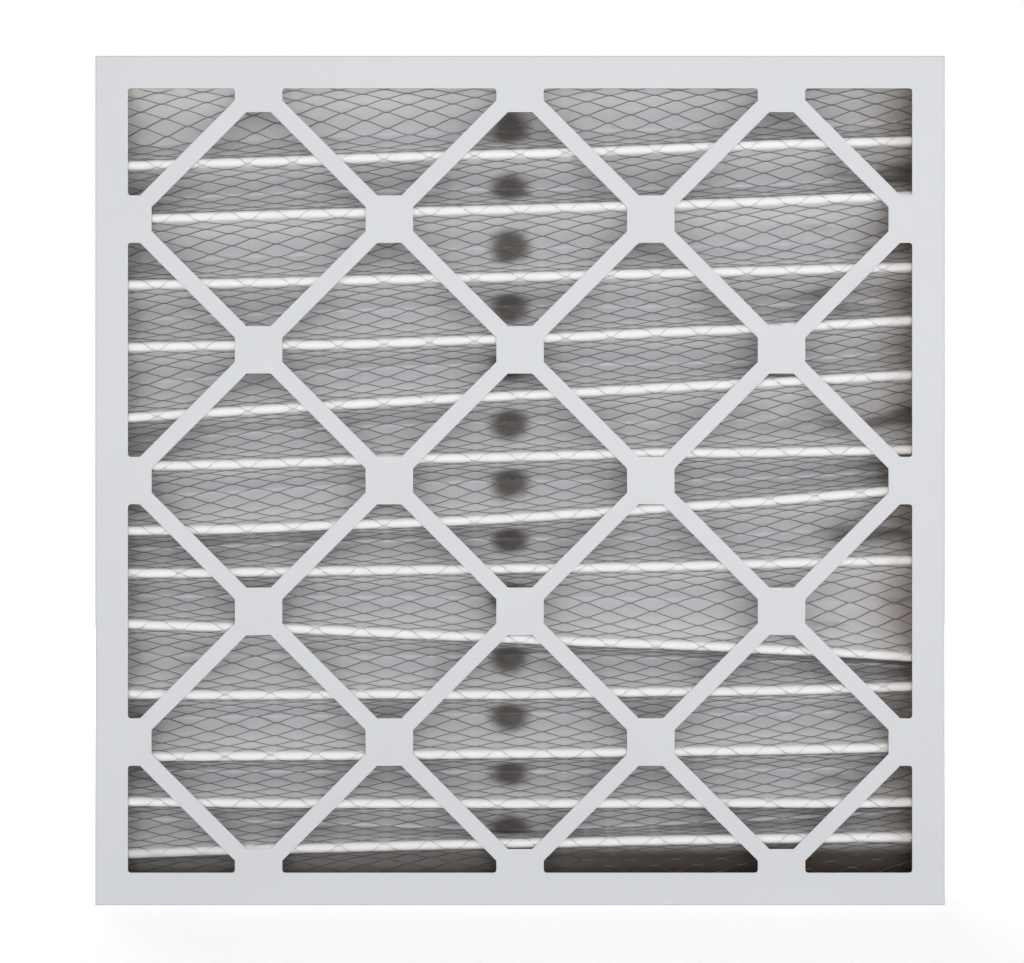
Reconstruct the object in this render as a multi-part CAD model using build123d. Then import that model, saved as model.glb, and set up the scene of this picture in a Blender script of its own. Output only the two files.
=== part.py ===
from build123d import *
import math
import os

# A pleated panel air filter of nominal 20 x 20 x 2 in: one pleated sheet of filter media, backed by
# an expanded metal grid and held between two die-cut board trays that nest in each other.
# X is the width and Z is up. Y is the depth, with the wired face, where the air leaves, towards -Y.
# The origin is the middle of the bottom edge. Sizes are in millimetres.

# The frame
frame_width = 495.3  # 19 1/2 in, the cut size of a nominal 20 in filter
frame_height = 495.3
frame_depth = 44.45  # 1 3/4 in, the cut size of a nominal 2 in filter
board = 0.7  # thickness of the folded board
border = 19.05  # board left round the openings of each face
fold_radius = 1.0  # outside of a folded edge
nest_gap = 0.1  # between the walls of the two trays
wall_setback = 0.6  # how far the outer tray's walls stop short of the rear face
inner_tray_depth = 40.0  # the inner tray's walls, from the rear face forwards
flap_length = 30.0  # a glued corner flap, along the wall that it is glued to
flap_taper = 4.0  # how much the flap narrows at each side towards its free end

# The diagonal supports that are cut out of each face
diamonds = 3  # whole diamonds across a face
strut_width = 9.5
pad_side = 27.6  # square pad where supports cross
cut_radius = 1.8  # corners of the openings at the border

# The pleated media
pleats = 14
media_thickness = 2.0
fold_middle_radius = 1.8  # of the sheet's middle surface, at each fold
fold_segments = 3  # flats round each fold, an odd number
pleat_stations = 3  # sections of the pleats, evenly spaced across the width
seat_gap = 0.1  # between the pleated pack and the board and glue round it
# How far each front fold has moved up from an even pitch, at the left edge, middle and right edge
front_fold_shift = [
    (-8, -2, 4),
    (-9, -1.5, 6.5),
    (-5, 1.5, 9),
    (-9, -3.5, 2.5),
    (-10, -4.5, 7),
    (-17, -2.5, 10),
    (-9.5, -3.5, 1),
    (-12, -4, 14),
    (-1.5, 1, 7),
    (4, -4.5, -16.5),
    (-2, -2, 2.5),
    (-3.5, -2, 2),
    (5, 4, 5),
    (9, 16, 19.5),
]

# The expanded metal grid on the front of the media, drawn with its diamonds at a coarse pitch
grid_thickness = 0.5
grid_gap = 0.05  # of glue, between the grid and the media
grid_columns = 2
grid_strand = 1.6
grid_margin = 8.0  # from the ends of the pleats to the ends of the grid

# The strap on the rear folds
strap_width = 19.05
strap_offset = -6.0  # from the middle of the width

# The hot-melt glue
seal_thickness = 0.7  # between the pack and the four walls
side_seal_depth = 34.0  # from front to rear
side_seal_setback = 4.45  # from the front face to the side seals
end_seal_depth = 5.0
strap_glue_width = 6.0
strap_glue_thickness = 0.5

# Faces of the frame
front_y = -frame_depth / 2
rear_y = frame_depth / 2
middle_z = frame_height / 2
opening_width = frame_width - 2 * border
opening_height = frame_height - 2 * border

# The inner tray fits inside the outer tray and its side flaps
outer_wall_x = frame_width / 2 - board
inner_tray_width = 2 * (outer_wall_x - board - nest_gap)
inner_tray_height = frame_height - 2 * board - 2 * nest_gap
inner_wall_x = inner_tray_width / 2 - board
inner_top_z = middle_z + inner_tray_height / 2 - board
inner_bottom_z = middle_z - inner_tray_height / 2 + board

# The pack lies between the seals of the four walls, and between the front face and the strap's glue
pack_half_width = inner_wall_x - max(board, seal_thickness) - seat_gap
pack_top = inner_top_z - seal_thickness - seat_gap
pack_bottom = inner_bottom_z + seal_thickness + seat_gap
pack_front_y = front_y + board + seat_gap + grid_thickness + grid_gap
strap_y = rear_y - board
strap_glue_y = strap_y - board
pack_rear_y = strap_glue_y - strap_glue_thickness - seat_gap
pleat_pitch = (pack_top - pack_bottom) / pleats


def diagonal_net(width, height, columns, rows, strut, pad):
    """The gaps between crossing diagonal strips, with a pad on each crossing, as flat faces in XZ."""
    step_x = width / (2 * columns)
    step_z = height / (2 * rows)
    angle = math.degrees(math.atan2(step_z, step_x))
    length = math.hypot(width, height) * 2
    lines = columns + rows
    net = Rectangle(width, height)
    for n in range(lines):
        offset = (2 * n - lines + 1) * step_z
        net -= Pos(0, offset) * Rot(0, 0, angle) * Rectangle(length, strut)
        net -= Pos(0, offset) * Rot(0, 0, -angle) * Rectangle(length, strut)
    if pad:
        for i in range(-columns, columns + 1):
            for j in range(-rows, rows + 1):
                if (i + j) % 2:
                    net -= Pos(i * step_x, j * step_z) * Rectangle(pad, pad)
    return net


def face_openings():
    """The openings of one face, with their corners rounded, as prisms that go through the board."""
    net = diagonal_net(opening_width, opening_height, diamonds, diamonds, strut_width, pad_side)
    half_width, half_height = opening_width / 2, opening_height / 2
    at_border = [
        v for v in net.vertices() if max(abs(v.X) - half_width, abs(v.Y) - half_height) > -board
    ]
    rounded = fillet(at_border, cut_radius)
    return Rot(90, 0, 0) * extrude(rounded, board * 2, both=True)


def corner_flaps(width, height, depth):
    """The flaps that turn in from the top and bottom walls and are glued inside the side walls."""
    y_fold, y_open = 2 * board, depth - board
    flaps = Part()
    for side in (-1, 1):
        for end in (-1, 1):
            z_wall = end * (height / 2 - board)
            z_tip = z_wall - end * flap_length
            outline = Polyline(
                (y_fold, z_wall),
                (y_fold + flap_taper, z_tip),
                (y_open - flap_taper, z_tip),
                (y_open, z_wall),
                close=True,
            )
            flap = extrude(Plane.YZ * make_face(outline), board)
            x_inside = side * (width / 2 - board) - (board if side > 0 else 0)
            flaps += Pos(x_inside, 0, 0) * flap
    return flaps


def tray(width, height, depth):
    """A folded tray of die-cut board with its face at Y = 0 and its walls towards +Y."""
    along = (Align.CENTER, Align.MIN, Align.CENTER)
    outside = Box(width, depth, height, align=along)
    folds = outside.faces().sort_by(Axis.Y)[0].edges()
    outside = fillet(folds, fold_radius)
    inside = Pos(0, board, 0) * Box(width - 2 * board, depth, height - 2 * board, align=along)
    folds = inside.faces().sort_by(Axis.Y)[0].edges()
    inside = fillet(folds, max(fold_radius - board, board / 10))
    return outside - inside - face_openings() + corner_flaps(width, height, depth)


def fold_places(across):
    """Heights of the front and rear folds at a place across the width, from -1 at the left to 1."""
    shift = []
    for n in range(pleats):
        left, middle, right = front_fold_shift[n % len(front_fold_shift)]
        shift.append(middle + (right - left) / 2 * across + ((left + right) / 2 - middle) * across**2)
    front = [pack_top - (n + 0.5) * pleat_pitch + shift[n] for n in range(pleats)]
    # the strap holds the rear folds evenly in the middle, and they follow the front ones at the sides
    follow = abs(across)
    rear = [pack_top - n * pleat_pitch for n in range(pleats + 1)]
    for n in range(1, pleats):
        rear[n] += follow * (shift[n - 1] + shift[n]) / 2
    return front, rear


def pleat_line(across, towards_front):
    """The pleated sheet's section, moved off its middle line by towards_front: points from top to bottom."""
    front, rear = fold_places(across)
    reach = fold_middle_radius + media_thickness / 2
    y_front = pack_front_y + reach
    y_rear = pack_rear_y - reach
    r_front = fold_middle_radius + towards_front
    r_rear = fold_middle_radius - towards_front
    folds = []
    for n in range(pleats):
        folds.append((y_rear, rear[n], r_rear, 1))
        folds.append((y_front, front[n], r_front, -1))
    folds.append((y_rear, rear[pleats], r_rear, 1))
    # the line from each fold to the next crosses between their centres and touches both circles
    touch = []
    for (ya, za, ra, _), (yb, zb, rb, _) in zip(folds, folds[1:]):
        apart = math.hypot(yb - ya, zb - za)
        heading = math.atan2(zb - za, yb - ya)
        turn = math.acos((ra + rb) / apart)
        turn = turn if yb < ya else -turn
        a = heading + turn
        touch.append((
            (ya + ra * math.cos(a), za + ra * math.sin(a)),
            (yb - rb * math.cos(a), zb - rb * math.sin(a)),
        ))
    points = []
    middle = (fold_segments + 1) // 2
    for n, (y, z, r, way) in enumerate(folds):
        # each fold turns from the line before it to the line after it
        first = math.atan2(touch[n - 1][1][1] - z, touch[n - 1][1][0] - y) if n else None
        last = math.atan2(touch[n][0][1] - z, touch[n][0][0] - y) if n < len(touch) else -first
        first = -last if first is None else first
        if way < 0:
            first, last = first % (2 * math.pi), last % (2 * math.pi)
        turn = [first + (last - first) * k / fold_segments for k in range(fold_segments + 1)]
        fold = [(y + r * math.cos(a), z + r * math.sin(a)) for a in turn]
        # the end folds are cut in half, through their middle flat
        if n == 0:
            fold = [(fold[middle][0], z)] + fold[middle:]
        elif n == len(touch):
            fold = fold[:middle] + [(fold[middle][0], z)]
        points += fold
    return points


def pleated_sheet(back, front, half_width):
    """A sheet that follows the pleats across the width, between two distances off their middle line."""
    sections = []
    for n in range(pleat_stations):
        across = 2 * n / (pleat_stations - 1) - 1
        outline = pleat_line(across, back) + pleat_line(across, front)[::-1]
        section = make_face(Polyline(*outline, close=True))
        sections.append(Plane.YZ.offset(across * half_width) * section)
    return loft(sections, ruled=True)


def filter_media():
    """The pleated sheet itself."""
    return pleated_sheet(-media_thickness / 2, media_thickness / 2, pack_half_width)


def wire_grid():
    """The expanded metal grid, which lies on the front of the media and is folded with it."""
    inside = media_thickness / 2 + grid_gap
    width = 2 * (pack_half_width - grid_margin)
    height = pack_top - pack_bottom
    sheet = pleated_sheet(inside, inside + grid_thickness, pack_half_width)
    gaps = diagonal_net(width, height, grid_columns, pleats, grid_strand, 0)
    prisms = extrude(gaps, frame_depth, both=True)
    trimmed = sheet & Pos(0, 0, middle_z) * Box(width, frame_depth, 2 * height)
    return trimmed - Pos(0, 0, middle_z) * Rot(90, 0, 0) * prisms


def rear_strap():
    """The board strap that holds the rear folds at an even pitch."""
    strap = Box(strap_width, board, inner_top_z - inner_bottom_z - 2 * fold_radius)
    return Pos(strap_offset, strap_y - board / 2, middle_z) * strap


def strap_glue():
    """The line of glue between the strap and the rear folds."""
    line = Box(strap_glue_width, strap_glue_thickness, pack_top - pack_bottom)
    return Pos(strap_offset, strap_glue_y - strap_glue_thickness / 2, middle_z) * line


def side_seal(side):
    """The glue between the ends of the pleats and one side wall, from corner flap to corner flap."""
    height = inner_top_z - inner_bottom_z - 2 * (flap_length + seat_gap)
    x = side * (inner_wall_x - seal_thickness / 2)
    y = front_y + side_seal_setback + side_seal_depth / 2
    return Pos(x, y, middle_z) * Box(seal_thickness, side_seal_depth, height)


def end_seal(z_wall, up):
    """The glue between an end of the pleated sheet and the top or bottom wall."""
    y = pack_rear_y - end_seal_depth / 2
    z = z_wall - up * seal_thickness / 2
    return Pos(0, y, z) * Box(2 * pack_half_width, end_seal_depth, seal_thickness)


def front_shell():
    """The outer tray, with its diagonal supports over the wired face."""
    return Pos(0, front_y, middle_z) * tray(frame_width, frame_height, frame_depth - wall_setback)


def rear_shell():
    """The inner tray, turned to face the rear, with its walls inside those of the outer one."""
    inner_tray = tray(inner_tray_width, inner_tray_height, inner_tray_depth)
    return Pos(0, rear_y, middle_z) * Rot(0, 0, 180) * inner_tray


nodes = {
    "front_shell": front_shell(),
    "rear_shell": rear_shell(),
    "rear_strap": rear_strap(),
    "filter_media": filter_media(),
    "wire_grid": wire_grid(),
    "left_seal": side_seal(-1),
    "right_seal": side_seal(1),
    "top_seal": end_seal(inner_top_z, 1),
    "bottom_seal": end_seal(inner_bottom_z, -1),
    "strap_glue": strap_glue(),
}
os.makedirs("parts", exist_ok=True)
for name, shape in nodes.items():
    export_step(shape, f"parts/{name}.step")
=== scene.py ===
import math

import bpy
import numpy as np
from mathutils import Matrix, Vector


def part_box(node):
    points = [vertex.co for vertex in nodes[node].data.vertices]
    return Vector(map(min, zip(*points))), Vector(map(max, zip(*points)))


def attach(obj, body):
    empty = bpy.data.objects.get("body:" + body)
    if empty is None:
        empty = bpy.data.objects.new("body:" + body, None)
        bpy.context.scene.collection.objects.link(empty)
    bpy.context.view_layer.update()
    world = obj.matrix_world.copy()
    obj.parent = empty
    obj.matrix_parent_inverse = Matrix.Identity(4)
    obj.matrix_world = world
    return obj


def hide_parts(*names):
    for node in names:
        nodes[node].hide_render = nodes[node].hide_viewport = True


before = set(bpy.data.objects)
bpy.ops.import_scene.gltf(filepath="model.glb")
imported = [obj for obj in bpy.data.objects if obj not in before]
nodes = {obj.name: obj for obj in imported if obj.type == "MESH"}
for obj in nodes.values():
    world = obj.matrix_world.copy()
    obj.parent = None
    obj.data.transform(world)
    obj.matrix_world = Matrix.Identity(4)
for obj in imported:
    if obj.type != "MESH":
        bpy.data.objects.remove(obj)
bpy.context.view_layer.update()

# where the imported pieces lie, in metres
outerLow, outerHigh = [np.array(corner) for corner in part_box("front_shell")]
mediaLow, mediaHigh = [np.array(corner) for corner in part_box("filter_media")]
gridLow, gridHigh = [np.array(corner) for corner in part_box("wire_grid")]
strapLow, strapHigh = [np.array(corner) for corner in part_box("rear_strap")]
frameMiddle = (outerLow + outerHigh) / 2
print("frame read")


def smoothNoise(x, z, scale, seed):
    # a cheap smooth field from -1 to 1: a few crossed waves with fixed random phases
    waves = 7
    rng = np.random.default_rng(seed)
    total = np.zeros(np.broadcast(x, z).shape)
    for n in range(waves):
        angle = rng.uniform(0, math.tau)
        size = scale * rng.uniform(0.6, 1.6)
        phase = rng.uniform(0, math.tau)
        total = total + np.sin((x * math.cos(angle) + z * math.sin(angle)) * math.tau / size + phase)
    return total / waves


def meshFrom(name, vertices, faces):
    mesh = bpy.data.meshes.new(name)
    mesh.from_pydata([tuple(v) for v in vertices], [], faces)
    mesh.validate()
    mesh.polygons.foreach_set("use_smooth", [True] * len(mesh.polygons))
    mesh.update()
    made = bpy.data.objects.new(name, mesh)
    bpy.context.scene.collection.objects.link(made)
    return made


pleatShape = {
    "pleats": 14,
    "thickness": 0.0020,
    "foldRadius": 0.0018,  # of the sheet's middle surface
    "wallCurve": 0.75,  # 0 is a straight wall
    "wallSag": 0.0006,  # how far a wall bulges between its folds
    "sagSize": 0.07,
    "sagDepth": 0.019,  # the sag dies out this far from the middle of the depth
    "puff": 0.00035,  # how far the media stands out between the strands
    "puffDepth": 0.009,  # the puff dies out this far behind the front folds
    "puffRise": 2.2,  # how soon it is full, counted in half diamonds
    "creaseWander": 0.0004,
    "wanderSize": 0.16,
    "columns": 132,
    "pointsPerFold": 5,
    "pointsPerWall": 7,
    # how far each front fold has moved up from an even pitch: left edge, middle and right edge
    "foldShift": [
        (0.0030, 0.0045, 0.0060),
        (-0.009, -0.0015, 0.0065),
        (-0.005, 0.0015, 0.009),
        (-0.009, -0.0035, 0.0025),
        (-0.010, -0.0045, 0.007),
        (-0.017, -0.0025, 0.010),
        (-0.0095, -0.0035, 0.001),
        (-0.012, -0.004, 0.014),
        (-0.0015, 0.001, 0.007),
        (0.004, -0.0045, -0.0165),
        (-0.002, -0.002, 0.0025),
        (-0.0035, -0.002, 0.002),
        (0.005, 0.004, 0.005),
        (0.009, 0.016, 0.0195),
    ],
    # how far these rear folds, counted from the top edge, have dropped at the left edge
    "rearDrop": {1: 0.0065, 3: 0.0035},
}


def foldPlaces(x):
    # heights of the front and rear folds at x, an array: two arrays of shape (folds, len(x))
    pleats = pleatShape["pleats"]
    across = x / mediaHigh[0]
    top, bottom = mediaHigh[2], mediaLow[2]
    pitch = (top - bottom) / pleats
    shift = []
    for left, middle, right in pleatShape["foldShift"]:
        bow = (left + right) / 2 - middle
        shift.append(middle + (right - left) / 2 * across + bow * across**2)
    size = pleatShape["wanderSize"]
    wander = np.array([smoothNoise(x, 0 * x + n * 3.7, size, 40 + n) for n in range(pleats)])
    shift = np.array(shift) + wander * pleatShape["creaseWander"] * 2
    front = top - (np.arange(pleats)[:, None] + 0.5) * pitch + shift
    rear = top - np.arange(pleats + 1)[:, None] * pitch + 0 * across
    # the strap holds the rear folds even at the middle, and they follow the front ones at the ends
    rear[1:-1] += np.abs(across) * (shift[:-1] + shift[1:]) / 2
    for n, drop in pleatShape["rearDrop"].items():
        rear[n] -= np.clip(-across, 0, 1) * drop
    return front, rear


def foldList(x):
    # every fold from the top down: its depth, its height at each x, and 1 if it points to the rear
    front, rear = foldPlaces(x)
    inset = pleatShape["foldRadius"] + pleatShape["thickness"] / 2
    frontY, rearY = mediaLow[1] + inset, mediaHigh[1] - inset
    folds = []
    for n in range(pleatShape["pleats"]):
        folds += [(rearY, rear[n], 1), (frontY, front[n], -1)]
    return folds + [(rearY, rear[-1], 1)]


def wallAngles(folds):
    # for each wall, the angle at which it leaves one fold's arc and the one at which it joins the next
    radius, bend = pleatShape["foldRadius"], pleatShape["wallCurve"]
    quarter = math.pi / 2
    leaving, joining = [], []
    for (ya, za, _), (yb, zb, _) in zip(folds, folds[1:]):
        heading = np.arctan2(zb - za, yb - ya)
        turn = np.arccos(2 * radius / np.hypot(yb - ya, zb - za))
        # a wall runs almost straight back from its front fold and spreads towards the rear one
        if yb < ya:
            slope = heading + turn + quarter
            leaving.append(-quarter + slope * (1 + bend))
            joining.append(quarter + slope * (1 - bend))
        else:
            slope = turn - heading - quarter
            leaving.append(-quarter - slope * (1 - bend))
            joining.append(quarter - slope * (1 + bend))
    return leaving, joining


def onArc(fold, angle):
    radius = pleatShape["foldRadius"]
    return fold[0] + radius * np.cos(angle), fold[1] + radius * np.sin(angle)


def foldRows(fold, first, last, steps):
    # a rear fold is passed through angle 0, a front one through half a turn
    if fold[2] < 0:
        first, last = first % math.tau, last % math.tau
    else:
        first, last = [(angle + math.pi) % math.tau - math.pi for angle in (first, last)]
    return [onArc(fold, first + (last - first) * k / steps) for k in range(steps + 1)]


def wallRows(fold, following, leave, join):
    # the wall between two folds, on a curve that meets each arc square to its radius
    steps = pleatShape["pointsPerWall"]
    ya, za = onArc(fold, leave)
    yb, zb = onArc(following, join)
    way = 1 if following[0] > fold[0] else -1
    reach = np.hypot(yb - ya, zb - za) / 3
    yc, zc = ya - way * np.sin(leave) * reach, za + way * np.cos(leave) * reach
    yd, zd = yb - way * np.sin(join) * reach, zb + way * np.cos(join) * reach
    rows = []
    for k in range(1, steps):
        t = k / steps
        weights = ((1 - t) ** 3, 3 * t * (1 - t) ** 2, 3 * t * t * (1 - t), t**3)
        y = sum(w * v for w, v in zip(weights, (ya, yc, yd, yb)))
        z = sum(w * v for w, v in zip(weights, (za, zc, zd, zb)))
        rows.append((y, z))
    return rows


def pleatSurface(x):
    # the middle surface at each x: points (row, column, xyz) and the distance along each section
    folds = foldList(x)
    leaving, joining = wallAngles(folds)
    foldSteps = pleatShape["pointsPerFold"]
    rows = []
    for n, fold in enumerate(folds):
        atEdge = n in (0, len(leaving))
        first = joining[n - 1] if n else 0 * x
        last = leaving[n] if n < len(leaving) else 0 * x
        rows += foldRows(fold, first, last, foldSteps // 2 if atEdge else foldSteps)
        if n < len(leaving):
            rows += wallRows(fold, folds[n + 1], leaving[n], joining[n])
    y = np.array([row[0] for row in rows])
    z = np.array([row[1] for row in rows])
    length = np.zeros(y.shape)
    length[1:] = np.cumsum(np.hypot(np.diff(y, axis=0), np.diff(z, axis=0)), axis=0)
    return np.stack([np.broadcast_to(x, y.shape), y, z], axis=-1), length


def surfaceNormals(points):
    normals = np.cross(np.gradient(points, axis=0), np.gradient(points, axis=1))
    return normals / np.linalg.norm(normals, axis=-1, keepdims=True)


def fromMiddle(length):
    # heights on the flat sheet, counted from its middle row
    return length - length[len(length) // 2]


expandedMetal = {
    "longWay": 0.0265,
    "shortWay": 0.0127,
    "strandWidth": 0.0006,
    "strandThickness": 0.00026,
    "bond": 0.0026,  # length of the joint where two strands meet
    "bondOverlap": 0.7,  # share of a strand's width that is common to both at a joint
    "standOff": 0.00006,
}
halfLong = expandedMetal["longWay"] / 2
halfShort = expandedMetal["shortWay"] / 2


def strandWave(x):
    # from -1 to 1 and back over one diamond, flat where two strands are joined
    flat = expandedMetal["bond"] / halfLong
    t = (x / halfLong) % 2
    t = np.where(t > 1, 2 - t, t)
    return np.clip((t - 0.5) / (0.5 - flat / 2), -1, 1)


def fromStrand(x, developed):
    # how far each point of the sheet is from the nearest strand, in half diamonds and at most 1
    place = developed / halfShort
    wave = strandWave(x)
    nearest = np.full(place.shape, 1.0)
    for step in (-1, 0, 1, 2):
        index = np.floor(place) + step
        sign = np.where(index % 2 == 0, 1, -1)
        nearest = np.minimum(nearest, np.abs(place - index - sign * wave / 2))
    return nearest


def sideFaces(rows, columns, first, flip):
    faces = []
    for r in range(rows - 1):
        for c in range(columns - 1):
            a = first + r * columns + c
            quad = (a, a + 1, a + columns + 1, a + columns)
            faces.append(quad[::-1] if flip else quad)
    return faces


def edgeFaces(rows, columns, count):
    # the four cut edges of the sheet, between its front side and its back side
    faces = []
    for c in range(columns - 1):
        a, b = c, (rows - 1) * columns + c
        faces.append((a, a + count, a + count + 1, a + 1))
        faces.append((b, b + 1, b + count + 1, b + count))
    for r in range(rows - 1):
        a, b = r * columns, (r + 1) * columns - 1
        faces.append((a, a + columns, a + columns + count, a + count))
        faces.append((b, b + count, b + columns + count, b + columns))
    return faces


def makeMedia():
    x = np.linspace(mediaLow[0], mediaHigh[0], pleatShape["columns"])
    points, length = pleatSurface(x)
    normals = surfaceNormals(points)
    developed = fromMiddle(length)
    depth = points[..., 1]
    # between the strands the soft sheet stands out a little, most where it is bent over a front fold
    behind = (depth - mediaLow[1]) / pleatShape["puffDepth"]
    rise = np.clip(fromStrand(points[..., 0], developed) * pleatShape["puffRise"], 0, 1) ** 0.8
    puff = pleatShape["puff"] * rise * np.clip(1 - behind, 0, 1)
    sag = smoothNoise(points[..., 0], points[..., 2], pleatShape["sagSize"], 5) * pleatShape["wallSag"]
    sag = sag * np.clip(1 - np.abs(depth) / pleatShape["sagDepth"], 0, 1)
    middle = points + normals * sag[..., None]
    half = pleatShape["thickness"] / 2
    frontSide = middle + normals * (half - pleatShape["puff"] + puff)[..., None]
    backSide = middle - normals * half
    vertices = np.concatenate([frontSide.reshape(-1, 3), backSide.reshape(-1, 3)])
    vertices = np.clip(vertices, mediaLow, mediaHigh)
    rows, columns = length.shape
    count = rows * columns
    faces = sideFaces(rows, columns, 0, False) + sideFaces(rows, columns, count, True)
    made = meshFrom("filterSheet", vertices, faces + edgeFaces(rows, columns, count))
    # where each point lies on the flat sheet, in metres
    flat = np.stack([points[..., 0], developed], axis=-1).reshape(-1, 2)
    flat = np.concatenate([flat, flat])
    layer = made.data.uv_layers.new(name="sheet")
    corners = np.zeros(len(made.data.loops), dtype=int)
    made.data.loops.foreach_get("vertex_index", corners)
    layer.data.foreach_set("uv", flat[corners].ravel())
    return made


def strandColumns():
    # places along a strand: both ends of each joint, and two between joints
    flat = expandedMetal["bond"] / 2
    gap = halfLong - 2 * flat
    firstJoint = math.floor(gridLow[0] / halfLong)
    x = []
    for n in range(firstJoint, -firstJoint + 1):
        centre = n * halfLong
        x += [centre - flat, centre + flat, centre + flat + gap / 3, centre + flat + 2 * gap / 3]
    x = [v for v in x if gridLow[0] < v < gridHigh[0]]
    return np.array([gridLow[0], *x, gridHigh[0]])


def strandFaces(first, count):
    # a three-sided bar through count sections of three points each, closed at both ends
    faces = []
    for c in range(count - 1):
        a, b = first + c * 3, first + (c + 1) * 3
        faces += [(a, b, b + 1, a + 1), (a + 1, b + 1, b + 2, a + 2), (a + 2, b + 2, b, a)]
    last = first + (count - 1) * 3
    return faces + [(first, first + 1, first + 2), (last, last + 2, last + 1)]


def unit(vectors):
    return vectors / np.linalg.norm(vectors, axis=1, keepdims=True)


def makeExpandedMetal():
    x = strandColumns()
    points, length = pleatSurface(x)
    normals = surfaceNormals(points)
    developed = fromMiddle(length)
    lift = pleatShape["thickness"] / 2 + expandedMetal["standOff"]
    width, thick = expandedMetal["strandWidth"] / 2, expandedMetal["strandThickness"]
    wave = strandWave(x) * (1 - expandedMetal["strandWidth"] * expandedMetal["bondOverlap"] / halfShort)
    firstStrand = math.ceil(developed[0].min() / halfShort)
    lastStrand = math.floor(developed[-1].max() / halfShort)
    vertices, faces = [], []
    for index in range(firstStrand, lastStrand + 1):
        sign = 1 if index % 2 == 0 else -1
        along = (index + sign * wave / 2) * halfShort
        centres, ups = [], []
        for c in range(x.size):
            column = developed[:, c]
            s = np.clip(along[c], column[0], column[-1])
            centres.append([np.interp(s, column, points[:, c, k]) for k in range(3)])
            ups.append([np.interp(s, column, normals[:, c, k]) for k in range(3)])
        centres, ups = np.array(centres), unit(np.array(ups))
        sideways = unit(np.cross(ups, unit(np.gradient(centres, axis=0))))
        low = centres + ups * lift
        faces += strandFaces(len(vertices), x.size)
        for c in range(x.size):
            vertices.append(low[c] - sideways[c] * width)
            vertices.append(low[c] + sideways[c] * width)
            vertices.append(low[c] + ups[c] * thick)
    return meshFrom("expandedMetalGrid", np.clip(np.array(vertices), gridLow, gridHigh), faces)


class NodeSheet:
    # short names for building one node tree
    def __init__(self, tree):
        self.tree = tree

    def add(self, kind, **values):
        node = self.tree.nodes.new(kind)
        for key, value in values.items():
            setattr(node, key, value)
        return node

    def put(self, value, socket):
        if isinstance(value, bpy.types.NodeSocket):
            self.tree.links.new(value, socket)
        elif value is not None:
            socket.default_value = value

    def math(self, operation, a, b=None, clamp=False):
        node = self.add("ShaderNodeMath", operation=operation, use_clamp=clamp)
        for socket, value in zip(node.inputs, (a, b)):
            self.put(value, socket)
        return node.outputs[0]

    def ramp(self, value, low, high, toLow=0.0, toHigh=1.0):
        node = self.add("ShaderNodeMapRange", interpolation_type="SMOOTHSTEP")
        for socket, v in zip(node.inputs, (value, low, high, toLow, toHigh)):
            self.put(v, socket)
        return node.outputs[0]

    def distance(self, a, b):
        squares = [self.math("POWER", v, 2.0) for v in (a, b)]
        return self.math("SQRT", self.math("ADD", *squares))

    def mix(self, factor, a, b):
        node = self.add("ShaderNodeMix", data_type="RGBA")
        for number, value in ((0, factor), (6, a), (7, b)):
            self.put(value, node.inputs[number])
        return node.outputs[2]

    def noise(self, vector, scale, detail=3.0, roughness=0.5, stretch=None):
        if stretch:
            mapping = self.add("ShaderNodeMapping")
            self.put(vector, mapping.inputs["Vector"])
            mapping.inputs["Scale"].default_value = stretch
            vector = mapping.outputs[0]
        node = self.add("ShaderNodeTexNoise")
        self.put(vector, node.inputs["Vector"])
        self.put(scale, node.inputs["Scale"])
        self.put(detail, node.inputs["Detail"])
        self.put(roughness, node.inputs["Roughness"])
        return node.outputs["Fac"]

    def parts(self, vector):
        node = self.add("ShaderNodeSeparateXYZ")
        self.put(vector, node.inputs[0])
        return node.outputs[0], node.outputs[1], node.outputs[2]

    def bump(self, height, strength, distance):
        node = self.add("ShaderNodeBump")
        self.put(height, node.inputs["Height"])
        node.inputs["Strength"].default_value = strength
        node.inputs["Distance"].default_value = distance
        return node.outputs["Normal"]


def shaderGroup(name, inputs, outputs):
    # a node group that hands back colours, masks, values or normals only
    group = bpy.data.node_groups.new(name, "ShaderNodeTree")
    for label, kind, value in inputs:
        group.interface.new_socket(label, in_out="INPUT", socket_type=kind).default_value = value
    for label, kind in outputs:
        group.interface.new_socket(label, in_out="OUTPUT", socket_type=kind)
    sheet = NodeSheet(group)
    return group, sheet, sheet.add("NodeGroupInput").outputs, sheet.add("NodeGroupOutput").inputs


def useGroup(sheet, group, **values):
    node = sheet.add("ShaderNodeGroup", node_tree=group)
    for label, value in values.items():
        sheet.put(value, node.inputs[label])
    return node.outputs


def newMaterial(name):
    material = bpy.data.materials.new(name)
    material.use_nodes = True
    material.node_tree.nodes.clear()
    sheet = NodeSheet(material.node_tree)
    shader = sheet.add("ShaderNodeBsdfPrincipled")
    output = sheet.add("ShaderNodeOutputMaterial")
    sheet.put(shader.outputs[0], output.inputs["Surface"])
    return material, sheet, shader.inputs


def tinted(colour, factor):
    return [channel * factor for channel in colour[:3]] + [1]


boardLook = {
    "coat": (0.68, 0.695, 0.72, 1),  # the clay coated face
    "kraft": (0.36, 0.235, 0.13, 1),
    "cutEdge": (0.60, 0.56, 0.50, 1),
    "coatRoughness": 0.52,
    "kraftRoughness": 0.85,
    "wallZone": 0.0018,  # a side wall's faces lie this near the outside of the frame
    "fleckScale": 900.0,
    "cloudScale": 14.0,
    "grainScale": 2600.0,
    "grainStrength": 0.12,
}


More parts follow.
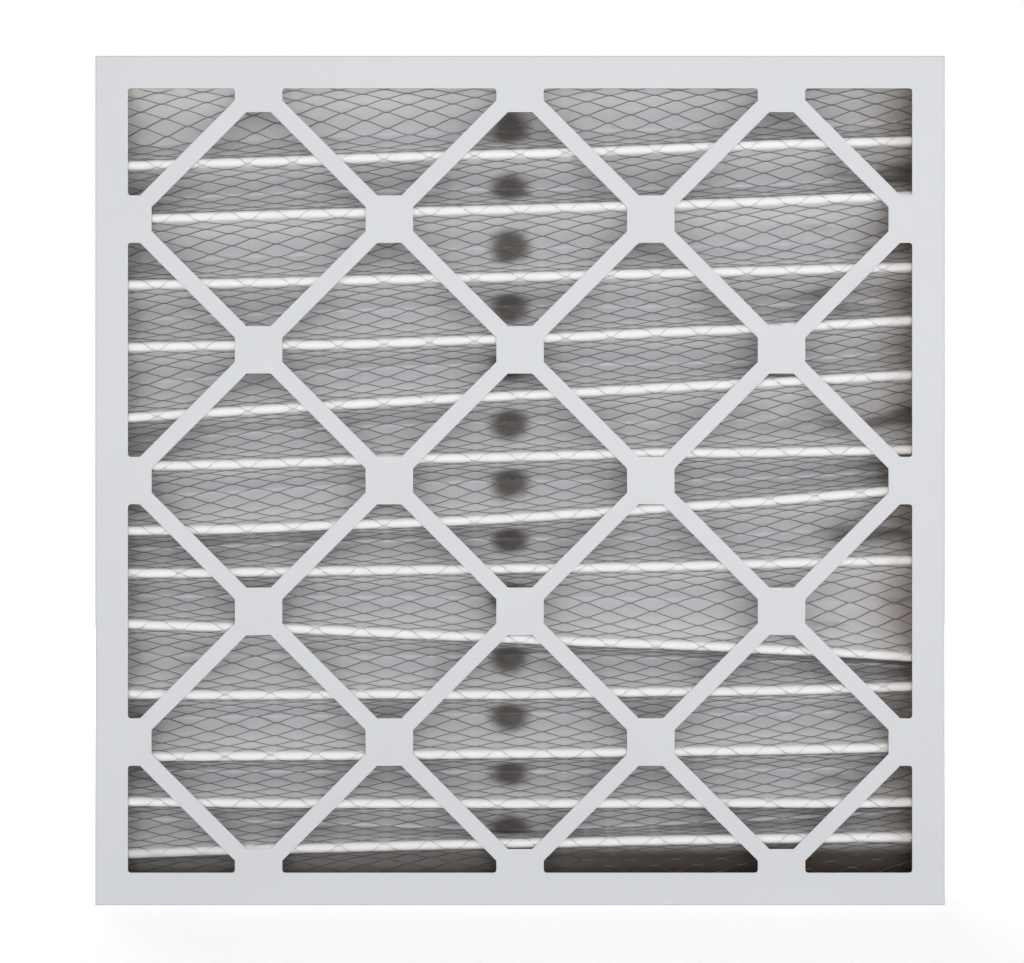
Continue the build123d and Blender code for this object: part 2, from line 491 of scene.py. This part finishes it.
def makeBoardGroup():
    # white on the outside of a tray, brown inside, pale where it was cut
    group, sheet, given, result = shaderGroup(
        "boardLayers",
        [("Front", "NodeSocketFloat", 1.0)],
        [("Colour", "NodeSocketColor"), ("Coat", "NodeSocketFloat"), ("Height", "NodeSocketFloat")],
    )
    place = sheet.add("ShaderNodeNewGeometry")
    position = place.outputs["Position"]
    x, _, z = sheet.parts(position)
    nx, ny, nz = sheet.parts(place.outputs["True Normal"])
    wallZone = float(outerHigh[0] - outerLow[0]) / 2 - boardLook["wallZone"]
    walls, wallsOut = [], []
    for along, normal, middle in ((x, nx, frameMiddle[0]), (z, nz, frameMiddle[2])):
        off = sheet.math("SUBTRACT", along, float(middle))
        near = sheet.math("GREATER_THAN", sheet.math("ABSOLUTE", off), wallZone)
        outward = sheet.math("MULTIPLY", normal, sheet.math("SIGN", off))
        walls.append(near)
        wallsOut.append(sheet.math("MULTIPLY", near, sheet.math("GREATER_THAN", outward, 0.3)))
    facing = sheet.math("MULTIPLY", ny, given["Front"])
    faceOut = sheet.math("LESS_THAN", facing, -0.3)
    coat = sheet.math("MAXIMUM", sheet.math("MAXIMUM", *wallsOut), faceOut)
    faceIn = sheet.math("GREATER_THAN", facing, 0.5)
    inside = sheet.math("MAXIMUM", faceIn, sheet.math("MAXIMUM", *walls))
    flecks = sheet.noise(position, boardLook["fleckScale"], 4.0, 0.7, (1.0, 1.0, 0.35))
    kraft = sheet.mix(flecks, tinted(boardLook["kraft"], 0.72), tinted(boardLook["kraft"], 1.25))
    cloud = sheet.ramp(sheet.noise(position, boardLook["cloudScale"], 3.0, 0.5), 0.3, 0.7)
    white = sheet.mix(cloud, boardLook["coat"], tinted(boardLook["coat"], 0.985))
    under = sheet.mix(inside, boardLook["cutEdge"], kraft)
    sheet.put(sheet.mix(coat, under, white), result["Colour"])
    sheet.put(coat, result["Coat"])
    sheet.put(sheet.noise(position, boardLook["grainScale"], 3.0, 0.6), result["Height"])
    return group


def makeBoard(name, layers, front):
    material, sheet, shader = newMaterial(name)
    made = useGroup(sheet, layers, Front=front)
    roughness = sheet.ramp(made["Coat"], 0, 1, boardLook["kraftRoughness"], boardLook["coatRoughness"])
    sheet.put(made["Colour"], shader["Base Color"])
    sheet.put(roughness, shader["Roughness"])
    shader["Specular IOR Level"].default_value = 0.35
    sheet.put(sheet.bump(made["Height"], boardLook["grainStrength"], 0.0001), shader["Normal"])
    return material


mediaLook = {
    "fibre": (0.96, 0.955, 0.96, 1),
    "foldShadeAndClumpTone": (0.57, 0.565, 0.585, 1),  # painted shade deep between the folds, and the tone that random clumps darken towards
    "frontShadeRamp": (0.004, 0.003),  # how far inside the depth the front side's painted shade starts and ends
    # the rear side's painted shade: where it starts and ends, and how dark it gets at most
    "rearShadeRamp": (0.004, 0.003),
    "rearShadeStrength": 0.7,
    "strapShadow": (0.13, 0.115, 0.105, 1),  # painted shadow of the strap and its glue in each valley
    "strapShadowWidth": 0.026,
    "strapShadowDepth": 0.017,
    "strapShadowStrength": 0.93,
    "rightEndShade": (0.46, 0.39, 0.34, 1),  # painted brown shade at the right ends, beside the kraft side wall
    "rightEndShadeRamp": (0.045, 0.014),
    "rightEndShadeStrength": 0.5,
    "brownShade": (0.11, 0.085, 0.07, 1),
    "endShadeScale": 26.0,
    "endShadeRamp": (0.15, 0.03),
    "endShadeStrength": 0.75,
    "footRamp": (0.034, 0.022),  # heights over the lower edge
    "footSpan": 0.12,  # the shade deepens from this far left of the middle to this far right of it
    "footStrength": (0.55, 0.97),
    "fibreScale": 1500.0,
    "clumpScale": 120.0,
    "fuzz": 0.35,
    "glow": 0.4,  # how much light spreads inside the sheet
    "glowReach": 0.004,
}


def paintedFoldShade(sheet, y, forward):
    # painted shade: each side of the sheet is darker the deeper it lies between the folds
    front, rear = float(mediaLow[1]), float(mediaHigh[1])
    start, end = mediaLook["frontShadeRamp"]
    frontDepth = sheet.ramp(y, front + start, rear - end)
    start, end = mediaLook["rearShadeRamp"]
    rearDepth = sheet.ramp(y, rear - start, front + end, 0, mediaLook["rearShadeStrength"])
    change = sheet.math("SUBTRACT", frontDepth, rearDepth)
    return sheet.math("ADD", rearDepth, sheet.math("MULTIPLY", forward, change))


def paintedStrapShadow(sheet, position, x, y):
    # painted shadow: the strap and its glue keep the light out behind each rear fold
    strapX = float(strapLow[0] + strapHigh[0]) / 2
    across = sheet.math("DIVIDE", sheet.math("SUBTRACT", x, strapX), mediaLook["strapShadowWidth"] / 2)
    behind = sheet.math("SUBTRACT", float(mediaHigh[1]), y)
    away = sheet.distance(across, sheet.math("DIVIDE", behind, mediaLook["strapShadowDepth"]))
    wobble = sheet.math("SUBTRACT", sheet.noise(position, 70.0, 3.0, 0.5), 0.5)
    away = sheet.math("ADD", away, sheet.math("MULTIPLY", wobble, 0.5))
    return sheet.math("MULTIPLY", sheet.ramp(away, 1.25, 0.45), mediaLook["strapShadowStrength"])


def patchyEndShade(sheet, position, y, rightGap):
    # painted shade: dark brown patches deep in the right ends
    patches = sheet.noise(position, mediaLook["endShadeScale"], 3.0, 0.55, (0.45, 1.0, 1.6))
    patches = sheet.math(
        "MULTIPLY", sheet.ramp(patches, 0.50, 0.66), sheet.ramp(rightGap, *mediaLook["endShadeRamp"])
    )
    patches = sheet.math("MULTIPLY", patches, sheet.ramp(y, 0.0, float(mediaHigh[1]) - 0.004))
    return sheet.math("MULTIPLY", patches, mediaLook["endShadeStrength"])


def footShade(sheet, x, z, forward):
    # the foot lies in the brown shade of the board, on the side that faces forward
    foot, span = float(mediaLow[2]), mediaLook["footSpan"]
    start, end = mediaLook["footRamp"]
    shade = sheet.ramp(z, foot + start, foot + end)
    shade = sheet.math("MULTIPLY", shade, sheet.ramp(x, -span, span, *mediaLook["footStrength"]))
    return sheet.math("MULTIPLY", shade, forward)


def makeMediaMaterial():
    material, sheet, shader = newMaterial("fibreSheet")
    place = sheet.add("ShaderNodeNewGeometry")
    position = place.outputs["Position"]
    flat = sheet.add("ShaderNodeUVMap", uv_map="sheet").outputs[0]
    x, y, z = sheet.parts(position)
    forward = sheet.math("LESS_THAN", sheet.parts(place.outputs["True Normal"])[1], 0.0)
    fibres = sheet.noise(flat, mediaLook["fibreScale"], 5.0, 0.7, (1.0, 0.35, 1.0))
    clumps = sheet.noise(flat, mediaLook["clumpScale"], 4.0, 0.6)
    rightGap = sheet.math("SUBTRACT", float(mediaHigh[0]), x)
    # painted brown shade towards the right ends
    rightEndShadeMask = sheet.math(
        "MULTIPLY", sheet.ramp(rightGap, *mediaLook["rightEndShadeRamp"]), mediaLook["rightEndShadeStrength"]
    )
    # painted shade between the folds, the strap's painted shadow and painted brown shade at the right
    # ends and on the foot
    base = sheet.mix(paintedFoldShade(sheet, y, forward), mediaLook["fibre"], mediaLook["foldShadeAndClumpTone"])
    base = sheet.mix(sheet.ramp(clumps, 0.35, 0.75, 0, 0.10), base, mediaLook["foldShadeAndClumpTone"])
    base = sheet.mix(paintedStrapShadow(sheet, position, x, y), base, mediaLook["strapShadow"])
    base = sheet.mix(rightEndShadeMask, base, mediaLook["rightEndShade"])
    base = sheet.mix(patchyEndShade(sheet, position, y, rightGap), base, mediaLook["brownShade"])
    base = sheet.mix(footShade(sheet, x, z, forward), base, mediaLook["brownShade"])
    sheet.put(base, shader["Base Color"])
    shader["Roughness"].default_value = 0.95
    shader["Specular IOR Level"].default_value = 0.1
    shader["Subsurface Weight"].default_value = mediaLook["glow"]
    shader["Subsurface Radius"].default_value = (1.0, 1.0, 0.97)
    shader["Subsurface Scale"].default_value = mediaLook["glowReach"]
    height = sheet.math("ADD", sheet.math("MULTIPLY", fibres, 0.5), clumps)
    sheet.put(sheet.bump(height, mediaLook["fuzz"], 0.0004), shader["Normal"])
    return material


gridLook = {
    "litWire": (0.66, 0.66, 0.65, 1),  # painted light: the wire on the front folds, which face the light
    # painted shade on the wire deep between the folds
    "shadedWire": (0.26, 0.26, 0.26, 1),
    "shadedWireRamp": (0.0008, 0.0045),  # painted shade on the wire grows over this depth behind the foremost strand
    "roughness": 0.36,
    "spangleScale": 420.0,
}


def makeGridMaterial():
    material, sheet, shader = newMaterial("zincWire")
    position = sheet.add("ShaderNodeNewGeometry").outputs["Position"]
    # painted shade: the wire is darker the deeper it lies, plus random spangle tone
    start, end = [float(gridLow[1]) + v for v in gridLook["shadedWireRamp"]]
    inward = sheet.ramp(sheet.parts(position)[1], start, end)
    spangle = sheet.noise(position, gridLook["spangleScale"], 3.0, 0.6)
    wireShadeAndSpangle = sheet.math("ADD", inward, sheet.ramp(spangle, 0.35, 0.65, -0.12, 0.12), clamp=True)
    sheet.put(sheet.mix(wireShadeAndSpangle, gridLook["litWire"], gridLook["shadedWire"]), shader["Base Color"])
    shader["Metallic"].default_value = 0.9
    sheet.put(sheet.ramp(spangle, 0.3, 0.7, gridLook["roughness"], 0.5), shader["Roughness"])
    sheet.put(sheet.bump(sheet.noise(position, 3000.0), 0.2, 0.0001), shader["Normal"])
    return material


glueLook = {
    "amber": (0.55, 0.42, 0.24, 1),
    "pale": (0.68, 0.58, 0.42, 1),
    "roughness": 0.33,
    "streakScale": 90.0,
}


def makeGlueMaterial():
    material, sheet, shader = newMaterial("hotMelt")
    position = sheet.add("ShaderNodeNewGeometry").outputs["Position"]
    streaks = sheet.noise(position, glueLook["streakScale"], 4.0, 0.55, (1.0, 1.0, 0.3))
    colour = sheet.mix(sheet.ramp(streaks, 0.3, 0.7), glueLook["amber"], glueLook["pale"])
    sheet.put(colour, shader["Base Color"])
    shader["Roughness"].default_value = glueLook["roughness"]
    sheet.put(sheet.bump(streaks, 0.5, 0.0008), shader["Normal"])
    return material


def wear(thing, material):
    thing.data.materials.clear()
    thing.data.materials.append(material)


def placePiece(piece, node, material):
    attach(piece, "root")
    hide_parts(node)
    wear(piece, material)


boardGroup = makeBoardGroup()
frontBoard = makeBoard("frontBoard", boardGroup, 1.0)
rearBoard = makeBoard("rearBoard", boardGroup, -1.0)
mediaMaterial = makeMediaMaterial()
gridMaterial = makeGridMaterial()
glueMaterial = makeGlueMaterial()
print("materials made")

media = makeMedia()
placePiece(media, "filter_media", mediaMaterial)
middleLength = pleatSurface(np.array([0.0]))[1]
seals = ["left_seal", "right_seal", "top_seal", "bottom_seal"]

metal = makeExpandedMetal()
placePiece(metal, "wire_grid", gridMaterial)
print("expanded metal made", len(metal.data.polygons), "faces")

wear(nodes["front_shell"], frontBoard)
wear(nodes["rear_shell"], rearBoard)
wear(nodes["rear_strap"], rearBoard)
for name in ["strap_glue", *seals]:
    wear(nodes[name], glueMaterial)
print("board and glue dressed")

studio = {
    "cameraX": -0.0047,
    "cameraZ": 0.2471,
    "cameraDistance": 1.25,  # from the front face
    "lens": 75.4,
    "worldStrength": 0.30,
    "floorSize": 8,
    "floorColour": (0.93, 0.93, 0.93, 1),
    "nearGlow": 0.52,  # low enough that the floor keeps the object's shadow
    "farGlow": 0.78,
    "glowRamp": (0.30, 0.95),
    # name: place, size and power
    "lamps": {
        "keyLight": ((0.1, -2.3, 0.24), (2.2, 1.0), 39.0),
        "fillLight": ((0.3, -1.3, 0.12), (1.4, 1.4), 3.8),
        "rearLight": ((-0.5, 2.3, 0.9), (2.2, 1.0), 30.0),
    },
}
scene = bpy.context.scene
scene.view_settings.view_transform = "Standard"


def makeWorld():
    # white to the camera and in reflections, grey light for everything else
    world = bpy.data.worlds.new("studioWorld")
    scene.world = world
    world.use_nodes = True
    world.node_tree.nodes.clear()
    sheet = NodeSheet(world.node_tree)
    path = sheet.add("ShaderNodeLightPath").outputs
    mirrored = sheet.math("MAXIMUM", path["Is Glossy Ray"], path["Is Transmission Ray"])
    seen = sheet.math("MAXIMUM", path["Is Camera Ray"], mirrored)
    background = sheet.add("ShaderNodeBackground")
    background.inputs["Color"].default_value = (1, 1, 1, 1)
    sheet.put(sheet.ramp(seen, 0.0, 1.0, studio["worldStrength"], 1.0), background.inputs["Strength"])
    output = sheet.add("ShaderNodeOutputWorld")
    sheet.put(background.outputs[0], output.inputs["Surface"])


def makeFloor():
    bpy.ops.mesh.primitive_plane_add(size=studio["floorSize"], location=(0, 0, 0))
    floor = bpy.context.object
    floor.name = "studioFloor"
    material, sheet, shader = newMaterial("paleFloor")
    shader["Base Color"].default_value = studio["floorColour"]
    shader["Roughness"].default_value = 0.9
    shader["Specular IOR Level"].default_value = 0.1
    # the camera sees it glow a little, most of all far from the object
    x, y, _ = sheet.parts(sheet.add("ShaderNodeNewGeometry").outputs["Position"])
    away = sheet.distance(x, y)
    strength = sheet.ramp(away, *studio["glowRamp"], studio["nearGlow"], studio["farGlow"])
    seen = sheet.add("ShaderNodeLightPath").outputs["Is Camera Ray"]
    glow = sheet.add("ShaderNodeEmission")
    sheet.put(sheet.math("MULTIPLY", seen, strength), glow.inputs["Strength"])
    both = sheet.add("ShaderNodeAddShader")
    output = next(node for node in material.node_tree.nodes if node.type == "OUTPUT_MATERIAL")
    sheet.put(output.inputs["Surface"].links[0].from_socket, both.inputs[0])
    sheet.put(glow.outputs[0], both.inputs[1])
    sheet.put(both.outputs[0], output.inputs["Surface"])
    wear(floor, material)


def makeLamp(name, place, size, power):
    lamp = bpy.data.lights.new(name, "AREA")
    lamp.shape = "RECTANGLE"
    lamp.size, lamp.size_y = size
    lamp.energy = power
    holder = bpy.data.objects.new(name, lamp)
    holder.location = place
    aim = Vector((0, 0, float(frameMiddle[2]))) - Vector(place)
    holder.rotation_euler = aim.to_track_quat("-Z", "Y").to_euler()
    scene.collection.objects.link(holder)


def makeCamera():
    camera = bpy.data.cameras.new("camera")
    camera.lens = studio["lens"]
    camera.sensor_width = 36
    camera.clip_start, camera.clip_end = 0.05, 50
    holder = bpy.data.objects.new("camera", camera)
    cameraY = float(outerLow[1]) - studio["cameraDistance"]
    holder.location = (studio["cameraX"], cameraY, studio["cameraZ"])
    holder.rotation_euler = (math.pi / 2, 0, 0)
    scene.collection.objects.link(holder)
    scene.camera = holder


makeWorld()
makeFloor()
for name, (place, size, power) in studio["lamps"].items():
    makeLamp(name, place, size, power)
makeCamera()
print("studio made")
